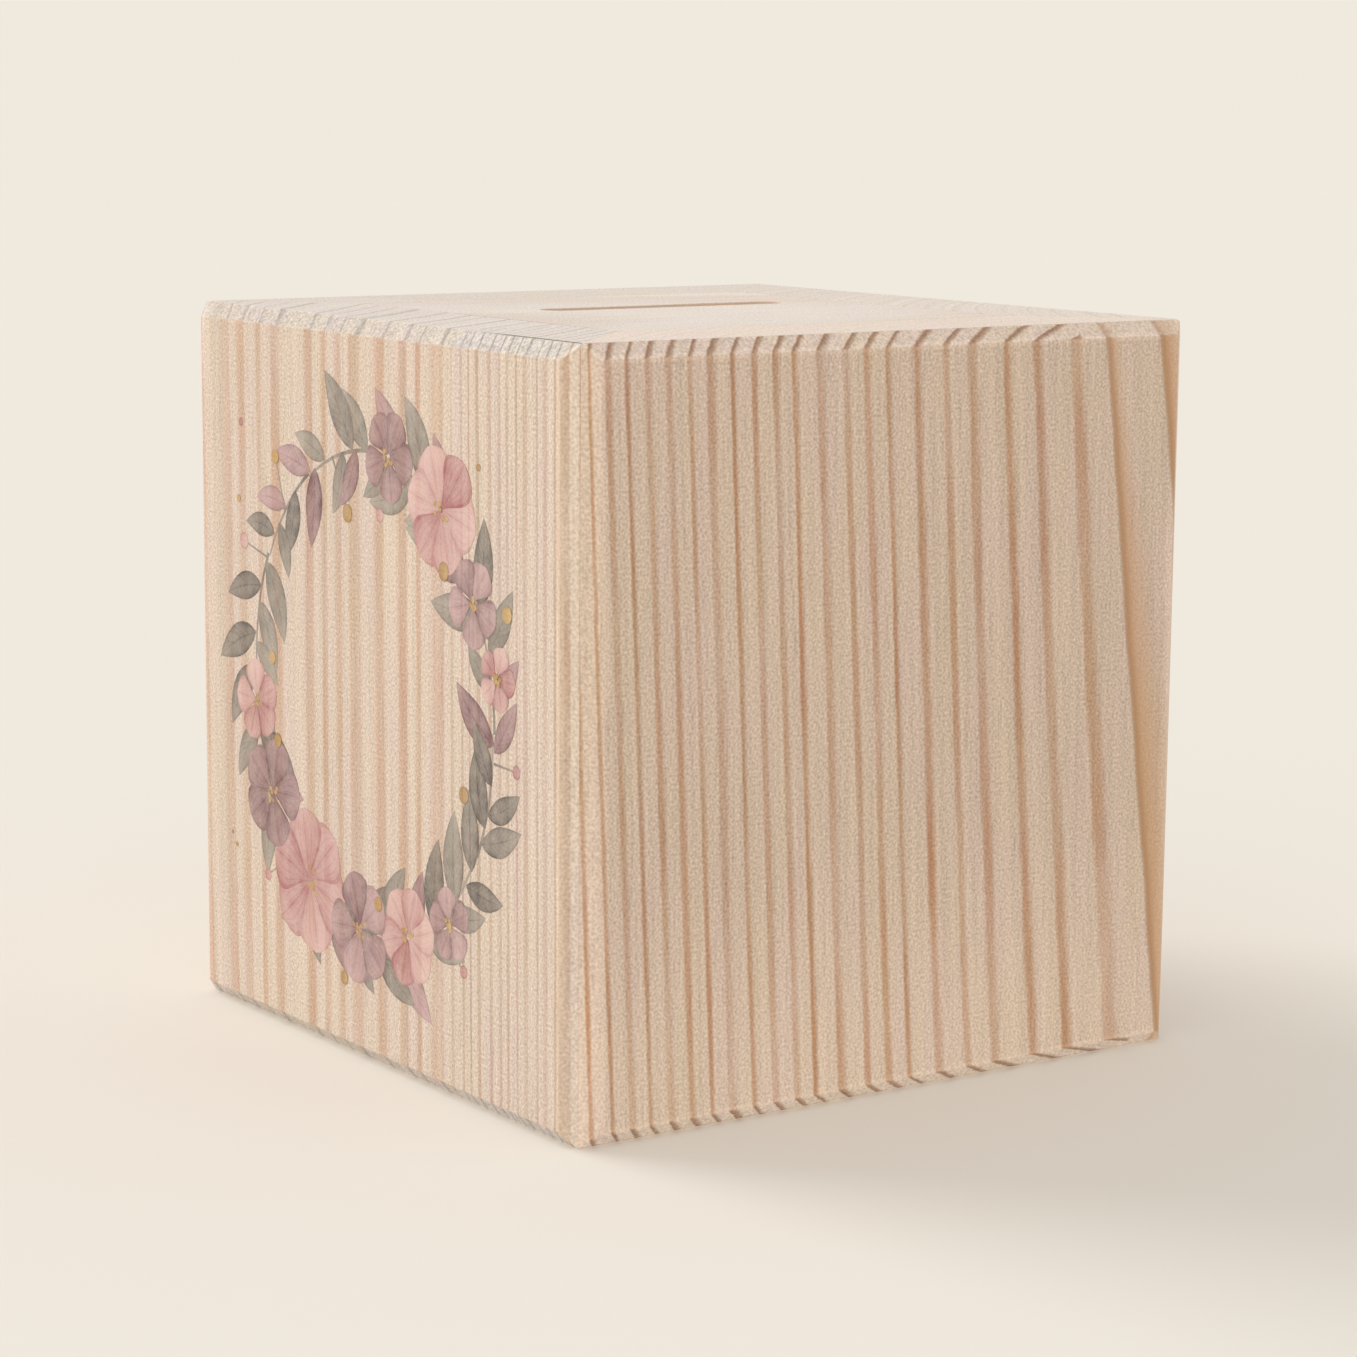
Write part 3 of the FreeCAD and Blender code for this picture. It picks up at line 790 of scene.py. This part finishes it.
def is_outside(face):
    """True for a face of the box's own outside, and not of a joint, groove or hole."""
    return face.normal.dot(face.calc_center_median() - BOX_MIDDLE) > OUTSIDE_SHARE * BOX_MIDDLE.z


def board_bevel(edge, edges):
    """How much sanding takes off one edge of a board."""
    if len(edge.link_faces) != 2 or edge.calc_face_angle() < BOARD_EDGE:
        return 0.0
    outside = [is_outside(face) for face in edge.link_faces]
    middle = (edge.verts[0].co + edge.verts[1].co) / 2
    if all(outside):
        return edges.arris
    on_glue_line = abs(middle.x - GLUE_LINE_X) < 0.01 * MM
    if on_glue_line or not any(outside):
        return 0.0
    in_field = max(abs(middle.x), abs(middle.y)) < PANEL_HALF_INNER
    return edges.mouth if in_field else edges.seam


def stopper_bevel(edge, edges):
    """The moulded rounding of one edge of the stopper."""
    if len(edge.link_faces) != 2 or edge.calc_face_angle() < STOPPER_EDGE:
        return 0.0
    return edges.moulded


def dressed(node, name, bevel, edges):
    """A copy of a CAD node's mesh with clean faces and its edges softened."""
    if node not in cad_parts:
        raise RuntimeError(f"The frame has no node {node}")
    shape = bmesh.new()
    shape.from_mesh(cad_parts[node].data)
    bmesh.ops.remove_doubles(shape, verts=shape.verts, dist=WELD)
    bmesh.ops.dissolve_limit(shape, angle_limit=FLAT_EDGE, verts=shape.verts, edges=shape.edges)
    if not shape.faces:
        raise RuntimeError(f"{node} has no faces")
    widths = sorted({bevel(edge, edges) for edge in shape.edges} - {0.0}, reverse=True)
    for width in widths:
        chosen = [edge for edge in shape.edges if abs(bevel(edge, edges) - width) < 1e-9]
        bmesh.ops.bevel(shape, geom=chosen, offset=width, offset_type="OFFSET", segments=BEVEL_STEPS,
                        profile=0.5, affect="EDGES", clamp_overlap=True)
    for face in shape.faces:
        face.smooth = True
    for edge in shape.edges:
        edge.smooth = len(edge.link_faces) == 2 and edge.calc_face_angle() < SMOOTH_EDGE
    piece = new_piece(name, shape)
    weighted = piece.modifiers.new("flat_faces", "WEIGHTED_NORMAL")
    weighted.keep_sharp = True
    return piece


def dress_board(finish, node, name, board, grain_axis):
    piece = dressed(node, name, board_bevel, finish.edges)
    show(piece, "box", pine_material(finish, board, grain_axis), node)


class InkSheet:
    """Collects flat blades of ink on the front wall, each a little over the last."""

    def __init__(self, wreath, layer):
        self.shape = bmesh.new()
        self.marks = [self.shape.verts.layers.float.new(f"ink_{mark}") for mark in INK_MARKS]
        self.y = FRONT_Y - wreath.lift * (1 + layer)
        self.film = wreath.film

    def blade(self, root, heading, long, wide, outline, tone, bend=0.0, rows=10, columns=6):
        """A leaf, petal, stem or dot that grows from root: outline gives its half width along it."""
        grid = []
        x, z = root
        for row in range(rows + 1):
            along = row / rows
            turn = heading + bend * (along - 0.5)
            if row:
                x += math.cos(turn) * long / rows
                z += math.sin(turn) * long / rows
            half = wide / 2 * outline(along)
            line = []
            for column in range(columns + 1):
                across = 2 * column / columns - 1
                aside = half * across
                vert = self.shape.verts.new((x - math.sin(turn) * aside, self.y, z + math.cos(turn) * aside))
                for mark, value in zip(self.marks, (across, along, tone)):
                    vert[mark] = value
                line.append(vert)
            grid.append(line)
        for low, high in zip(grid, grid[1:]):
            for i in range(columns):
                self.shape.faces.new((low[i], high[i], high[i + 1], low[i + 1]))
        self.y -= INK_STEP

    def stem(self, start, end, width, tone, stretch=1.0, bend=0.0):
        """A stem from one point to another."""
        x, z = end[0] - start[0], end[1] - start[1]
        self.blade(start, math.atan2(z, x), math.hypot(x, z) * stretch, width, stem_outline, tone, bend)

    def dot(self, middle, radius, tone):
        """A round dot."""
        self.blade((middle[0] - radius, middle[1]), 0.0, 2 * radius, 2 * radius, dot_outline, tone, columns=8)

    def finish(self, name, material):
        """Turn the blades into one piece of thin ink on the box."""
        if not self.shape.faces:
            raise RuntimeError(f"{name} has no blades")
        bmesh.ops.remove_doubles(self.shape, verts=self.shape.verts, dist=INK_STEP)
        bmesh.ops.recalc_face_normals(self.shape, faces=self.shape.faces)
        for face in self.shape.faces:
            if face.normal.y > 0:
                face.normal_flip()
        piece = new_piece(name, self.shape)
        film = piece.modifiers.new("film", "SOLIDIFY")
        film.thickness = self.film
        film.offset = -1
        show(piece, "box", material)


def leaf_outline(along):
    return math.sin(math.pi * along ** 0.85) ** 0.9


def petal_outline(along):
    return math.sin(math.pi * along ** 1.7 * 0.97 + 0.03) ** 0.7


def stem_outline(along):
    return 1.0 - 0.35 * along


def dot_outline(along):
    return math.sqrt(max(0.0, 1 - (2 * along - 1) ** 2))


# Sheets of the print: sheet, layer, piece, material, ink, and whether its veins branch.
INK_SHEETS = (
    ("stems", 0, "print_stems", "ink_stems", "sage", 0.0),
    ("sage", 2, "print_sage_leaves", "ink_sage", "sage", 1.0),
    ("dusk", 4, "print_mauve_leaves", "ink_dusk", "mauve", 1.0),
    ("rose", 7, "print_rose_petals", "ink_rose", "rose", 0.0),
    ("mauve", 9, "print_mauve_petals", "ink_mauve", "mauve", 0.0),
    ("berries", 12, "print_berries", "ink_gold", "gold", 0.0),
)

# Blossoms on the wreath: place round it in degrees, scale, petals, and sheet.
BLOSSOMS = (
    (238, 1.50, 6, "rose"),
    (265, 1.15, 5, "mauve"),
    (211, 1.15, 5, "mauve"),
    (289, 1.00, 6, "rose"),
    (188, 0.85, 5, "rose"),
    (309, 0.72, 5, "mauve"),
    (54, 1.25, 6, "rose"),
    (80, 0.90, 5, "mauve"),
    (30, 0.85, 5, "mauve"),
    (12, 0.60, 5, "rose"),
)

STEM_OVERLAP = 1.01
DUSKY_LEAVES = 0.38
SPECK_FIELD = (40, 41)
SPECK_REACH = 1.28


def on_stem(wreath, degrees, out=0.0):
    """A point on the wreath's round stem, or this far out from it."""
    turn = math.radians(degrees)
    across = (wreath.half_width + out) * math.cos(turn)
    return across, BOX_MIDDLE.z + (wreath.half_height + out) * math.sin(turn)


def moved(point, turn, reach):
    """A point at this turn and distance from another."""
    return point[0] + reach * math.cos(turn), point[1] + reach * math.sin(turn)


def draw_stem(wreath, chance, sheets):
    """The round stem, in short arcs."""
    arc = 360 / wreath.arcs
    for i in range(wreath.arcs):
        start, end = on_stem(wreath, arc * i), on_stem(wreath, arc * i + arc)
        sheets["stems"].stem(start, end, wreath.stem_width, chance.random(), STEM_OVERLAP, math.radians(arc))


def draw_leaves(wreath, chance, sheets):
    """Leaves along the stem, to its left and right by turns."""
    for i in range(wreath.leaves):
        degrees = 360 * i / wreath.leaves + chance.uniform(-3, 3)
        side = 1 if i % 2 else -1
        heading = math.radians(degrees + 90 - side * chance.uniform(32, 62))
        size = chance.uniform(0.75, 1.25)
        sheet = sheets["dusk" if chance.random() < DUSKY_LEAVES else "sage"]
        sheet.blade(on_stem(wreath, degrees), heading, wreath.leaf_length * size, wreath.leaf_width * size,
                    leaf_outline, chance.random(), bend=side * chance.uniform(0.1, 0.6), rows=12, columns=8)


def draw_blossoms(wreath, chance, sheets):
    """Blossoms, each a ring of petals with stamens in the middle."""
    for degrees, scale, petals, sheet in BLOSSOMS:
        middle = on_stem(wreath, degrees, chance.uniform(-1.5, 1.5) * MM)
        first = chance.uniform(0, math.tau)
        for i in range(petals):
            heading = first + math.tau * i / petals + chance.uniform(-0.08, 0.08)
            root = moved(middle, heading, wreath.petal_gap)
            sheets[sheet].blade(
                root, heading, wreath.petal_length * scale, wreath.petal_width * scale, petal_outline,
                chance.random(), bend=chance.uniform(-0.25, 0.25), rows=14, columns=10)
        for _ in range(wreath.stamens):
            reach = chance.uniform(0.2, 1.5) * MM * scale
            turn = chance.uniform(0, math.tau)
            sheets["berries"].dot(moved(middle, turn, reach), wreath.stamen, chance.random())


def draw_sprigs(wreath, chance, sheets):
    """Berries on thin stalks, inside and outside the stem."""
    for i in range(wreath.sprigs):
        degrees = 360 * i / wreath.sprigs + chance.uniform(-8, 8)
        out = chance.choice((-1, 1)) * chance.uniform(4.5, 8.5) * MM
        root = on_stem(wreath, degrees)
        tip = on_stem(wreath, degrees + chance.uniform(-6, 6), out)
        sheets["stems"].stem(root, tip, wreath.sprig_width, chance.random())
        sheet = sheets["berries" if i % 3 else "rose"]
        sheet.dot(tip, chance.uniform(0.8, 1.25) * MM, chance.random())


def draw_specks(wreath, chance, sheets):
    """Loose dots round the wreath."""
    wide, high = SPECK_FIELD
    for _ in range(wreath.specks):
        x, up = chance.uniform(-wide, wide) * MM, chance.uniform(-high, high) * MM
        if math.hypot(x / wreath.half_width, up / wreath.half_height) > SPECK_REACH:
            sheet = sheets[chance.choice(("rose", "mauve", "berries"))]
            sheet.dot((x, BOX_MIDDLE.z + up), chance.uniform(0.25, 0.6) * MM, chance.random())


def draw_wreath(finish):
    """A round garland of leaves, blossoms and berries, seeded so that it comes out the same each time."""
    wreath = finish.wreath
    chance = random.Random(WREATH_SEED)
    sheets = {sheet: InkSheet(wreath, layer) for sheet, layer, *_ in INK_SHEETS}
    for draw in (draw_stem, draw_leaves, draw_blossoms, draw_sprigs, draw_specks):
        draw(wreath, chance, sheets)
    for sheet, _, piece, material, ink, branching in INK_SHEETS:
        light, deep = getattr(wreath, ink), getattr(wreath, f"{ink}_deep")
        sheets[sheet].finish(piece, ink_material(finish, material, light, deep, branching))


def rubber_material(finish):
    """Matt moulded rubber with a fine grain and a little dust in it."""
    material, g, shader = new_material("stopper_rubber")
    position, _ = g.surface()
    grain = g.noise(position, 3200, 3.0, 0.6)
    dust = g.step(g.noise(position, 160, 4.0, 0.65), 0.48, 0.72)
    tone = g.mix(dust, tuple(finish.rubber.dark), tuple(finish.rubber.dusty))
    g.feed(shader.inputs["Base Color"], tone)
    g.feed(shader.inputs["Roughness"], g.plus(0.55, (dust, 0.2)))
    add_relief(g, shader, grain, 0.3, 0.05 * MM)
    return material


def beech_material(finish):
    """Plain beech with short dark flecks, for the hidden splines."""
    material, g, shader = new_material("beech_spline")
    position, _ = g.surface()
    fibre = g.group(fibre_group(), position=position)
    marks = finish.marks
    tone = g.mix(fibre["Streak"], tuple(marks.beech_dark), tuple(marks.beech_pale))
    tone = g.mix(g.times(fibre["Fleck"], 0.6), tone, tuple(marks.beech_fleck))
    g.feed(shader.inputs["Base Color"], tone)
    g.feed(shader.inputs["Roughness"], g.plus(0.5, (fibre["Streak"], 0.2)))
    add_relief(g, shader, fibre["Streak"], 0.2, 0.1 * MM)
    return material


def sees_backdrop(g):
    """Camera rays, mirrored rays and rays through glass, which all see the plain backdrop."""
    light_path = g.add("ShaderNodeLightPath").outputs
    seen = g.math("MAXIMUM", light_path["Is Camera Ray"], light_path["Is Glossy Ray"])
    return g.math("MAXIMUM", seen, light_path["Is Transmission Ray"])


def mixed_shader(g, share, first, second):
    """The output of a mix of two shader nodes."""
    return g.feed_all(g.add("ShaderNodeMixShader"), (share, first.outputs[0], second.outputs[0]))


def floor_material(stage):
    """A floor in the backdrop's tone that shows the box's soft shadow and is clear from below."""
    material = bpy.data.materials.new("studio_floor")
    material.use_nodes = True
    g = Graph(material.node_tree)
    g.tree.nodes.clear()
    level = Vector(stage.sky)
    for strength, towards_light in (
        (stage.key_strength, stage.key_direction),
        (stage.fill_strength, stage.fill_direction),
    ):
        share = strength * Vector(towards_light).normalized().z / math.pi
        level += Vector((share, share, share))
    # The tone that comes out as the backdrop under this light.
    tones = [min(PALEST_FLOOR, tone / lit) for tone, lit in zip(stage.backdrop, level)]
    matt = g.add("ShaderNodeBsdfDiffuse")
    matt.inputs["Color"].default_value = (*tones, 1)
    glow = g.add("ShaderNodeEmission")
    glow.inputs["Color"].default_value = (*stage.backdrop, 1)
    glow_share = g.plus(1.0, (sees_backdrop(g), -stage.shadow_share))
    lifted = mixed_shader(g, glow_share, matt, glow)
    from_below = g.add("ShaderNodeNewGeometry").outputs["Backfacing"]
    sided = mixed_shader(g, from_below, lifted.node, g.add("ShaderNodeBsdfTransparent"))
    g.feed(g.add("ShaderNodeOutputMaterial").inputs[0], sided)
    return material


class MONEY_BOX_OT_front_wall(bpy.types.Operator):
    """Finish the front wall's two staves"""
    bl_idname = "money_box.front_wall"
    bl_label = "Front wall"

    def execute(self, context):
        finish = context.scene.money_box
        dress_board(finish, "front_wall_wide_stave", "front_board_wide", "front_wide", "z")
        dress_board(finish, "front_wall_narrow_stave", "front_board_narrow", "front_narrow", "z")
        return {"FINISHED"}


class MONEY_BOX_OT_plain_walls(bpy.types.Operator):
    """Finish the right, back and left walls"""
    bl_idname = "money_box.plain_walls"
    bl_label = "Plain walls"

    def execute(self, context):
        for board in ("right", "back", "left"):
            dress_board(context.scene.money_box, f"{board}_wall", f"{board}_board", board, "z")
        return {"FINISHED"}


class MONEY_BOX_OT_panels(bpy.types.Operator):
    """Finish the slotted top panel and the bottom panel"""
    bl_idname = "money_box.panels"
    bl_label = "Panels"

    def execute(self, context):
        for board in ("top", "bottom"):
            dress_board(context.scene.money_box, f"{board}_panel", f"{board}_board", board, "y")
        return {"FINISHED"}


class MONEY_BOX_OT_splines(bpy.types.Operator):
    """Finish the splines inside the mitres"""
    bl_idname = "money_box.splines"
    bl_label = "Splines"

    def execute(self, context):
        splines = [node for name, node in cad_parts.items() if name.startswith("spline_")]
        if not splines:
            raise RuntimeError("The frame has no splines")
        material = beech_material(context.scene.money_box)
        for node in splines:
            node.data.materials.clear()
            node.data.materials.append(material)
        return {"FINISHED"}


class MONEY_BOX_OT_stopper(bpy.types.Operator):
    """Finish the stopper in the underside"""
    bl_idname = "money_box.stopper"
    bl_label = "Stopper"

    def execute(self, context):
        finish = context.scene.money_box
        piece = dressed("stopper", "stopper_plug", stopper_bevel, finish.edges)
        show(piece, "stopper", rubber_material(finish), "stopper")
        return {"FINISHED"}


class MONEY_BOX_OT_print(bpy.types.Operator):
    """Print the wreath on the front wall"""
    bl_idname = "money_box.print"
    bl_label = "Printed wreath"

    def execute(self, context):
        draw_wreath(context.scene.money_box)
        return {"FINISHED"}


class MONEY_BOX_OT_stage(bpy.types.Operator):
    """Set the floor, backdrop, lights and camera"""
    bl_idname = "money_box.stage"
    bl_label = "Stage"

    def execute(self, context):
        scene = context.scene
        stage = scene.money_box.stage
        self.lay_floor(stage)
        self.light_world(scene, stage)
        self.hang_lamp(scene, "key_light", stage.key_strength, stage.key_direction, stage.key_spread)
        self.hang_lamp(scene, "fill_light", stage.fill_strength, stage.fill_direction, stage.fill_spread)
        self.set_camera(scene, stage)
        scene.view_settings.view_transform = "Standard"
        return {"FINISHED"}

    def lay_floor(self, stage):
        shape = bmesh.new()
        bmesh.ops.create_grid(shape, x_segments=2, y_segments=2, size=stage.floor_half)
        floor = new_piece("studio_floor", shape)
        floor.data.materials.append(floor_material(stage))
        floor.location.z = CAD_BOX[0].z - FLOOR_GAP

    def light_world(self, scene, stage):
        world = bpy.data.worlds.new("studio_world")
        world.use_nodes = True
        g = Graph(world.node_tree)
        g.tree.nodes.clear()
        sky = g.add("ShaderNodeBackground")
        sky.inputs["Color"].default_value = (*stage.sky, 1)
        plain = g.add("ShaderNodeBackground")
        plain.inputs["Color"].default_value = (*stage.backdrop, 1)
        either = mixed_shader(g, sees_backdrop(g), sky, plain)
        g.feed(g.add("ShaderNodeOutputWorld").inputs[0], either)
        scene.world = world

    def hang_lamp(self, scene, name, strength, towards_light, spread):
        lamp = bpy.data.lights.new(name, "SUN")
        lamp.energy = strength
        lamp.angle = spread
        lamp_object = bpy.data.objects.new(name, lamp)
        lamp_object.rotation_euler = Vector(towards_light).to_track_quat("Z", "Y").to_euler()
        scene.collection.objects.link(lamp_object)

    def set_camera(self, scene, stage):
        camera = bpy.data.cameras.new("photo_camera")
        camera.sensor_width = SENSOR_WIDTH
        camera.lens = SENSOR_WIDTH * stage.focal_pixels / PHOTO_SIDE
        camera.clip_start = CLIP_NEAR
        camera.clip_end = CLIP_FAR
        camera_object = bpy.data.objects.new("photo_camera", camera)
        level = math.cos(stage.elevation)
        back = Vector((
            math.sin(stage.azimuth) * level,
            -math.cos(stage.azimuth) * level,
            math.sin(stage.elevation),
        ))
        turn = (-back).to_track_quat("-Z", "Y").to_matrix().to_4x4() @ Matrix.Rotation(stage.roll, 4, "Z")
        aim = BOX_MIDDLE - Vector((0, 0, stage.aim_drop))
        camera_object.matrix_world = Matrix.Translation(aim + back * stage.distance) @ turn
        scene.collection.objects.link(camera_object)
        scene.camera = camera_object


STEPS = (
    MONEY_BOX_OT_front_wall,
    MONEY_BOX_OT_plain_walls,
    MONEY_BOX_OT_panels,
    MONEY_BOX_OT_splines,
    MONEY_BOX_OT_stopper,
    MONEY_BOX_OT_print,
    MONEY_BOX_OT_stage,
)


class MONEY_BOX_PT_finish(bpy.types.Panel):
    """The money box's pieces and stage"""
    bl_label = "Money Box"
    bl_idname = "MONEY_BOX_PT_finish"
    bl_space_type = "VIEW_3D"
    bl_region_type = "UI"
    bl_category = "Money Box"

    def draw(self, context):
        for step in STEPS:
            self.layout.operator(step.bl_idname)
        finish = context.scene.money_box
        for part in MoneyBoxFinish.__annotations__:
            box = self.layout.box()
            box.label(text=finish.bl_rna.properties[part].name)
            values = getattr(finish, part)
            for value in type(values).__annotations__:
                box.prop(values, value)


CLASSES = (
    WideStaveGrain,
    NarrowStaveGrain,
    RightWallGrain,
    BackWallGrain,
    LeftWallGrain,
    TopPanelGrain,
    BottomPanelGrain,
    WoodMarks,
    EdgeFinish,
    WreathPrint,
    Rubber,
    Stage,
    MoneyBoxFinish,
    *STEPS,
    MONEY_BOX_PT_finish,
)


def register():
    for item in CLASSES:
        bpy.utils.register_class(item)
    bpy.types.Scene.money_box = values_of(MoneyBoxFinish, "Money box", "Finish of the money box and its stage")


def unregister():
    del bpy.types.Scene.money_box
    for item in reversed(CLASSES):
        bpy.utils.unregister_class(item)


def main():
    register()
    for step in STEPS:
        group, name = step.bl_idname.split(".")
        getattr(getattr(bpy.ops, group), name)()


if __name__ == "__main__":
    main()
